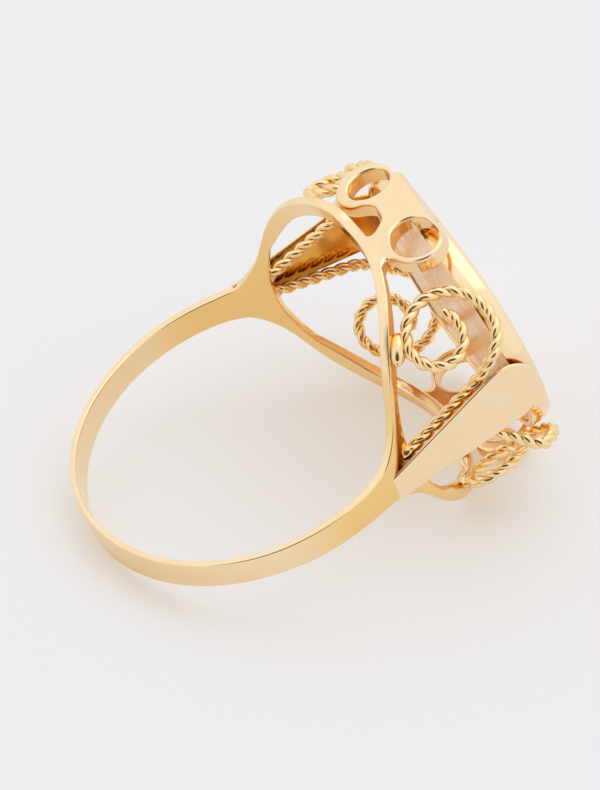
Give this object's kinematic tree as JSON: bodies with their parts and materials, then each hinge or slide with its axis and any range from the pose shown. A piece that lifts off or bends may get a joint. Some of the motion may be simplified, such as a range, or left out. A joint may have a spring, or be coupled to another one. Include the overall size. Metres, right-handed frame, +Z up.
{
  "type": "finger ring",
  "caption": "Gold finger ring with an open oval head carried on flat leaf plates, ram's-horn supports and twisted rope scrolls.",
  "frame": {"origin": "middle of the bounding box's base, on the surface the ring lies on", "axes": "+Z up from the surface; +X across the finger hole; the head points to -Y; the finger hole's axis is tipped about 19 degrees from +Z towards +Y"},
  "size_m": [0.019, 0.024, 0.0156],
  "materials": {
    "gold_polished": "polished yellow gold",
    "gold_horn": "polished yellow gold, soldered and filed",
    "gold_satin": "satin yellow gold sheet",
    "gold_rope": "twisted two-strand gold wire"
  },
  "bodies": {
    "root": {"shank": "gold_polished", "leaf_left": "gold_polished", "leaf_right": "gold_polished", "horn_front": "gold_horn", "horn_back": "gold_horn", "bezel": "gold_polished", "back_plate": "gold_satin", "scroll_front_left": "gold_rope", "scroll_front_right": "gold_rope", "scroll_back_left": "gold_rope", "scroll_back_right": "gold_rope"}
  },
  "joints": []
}
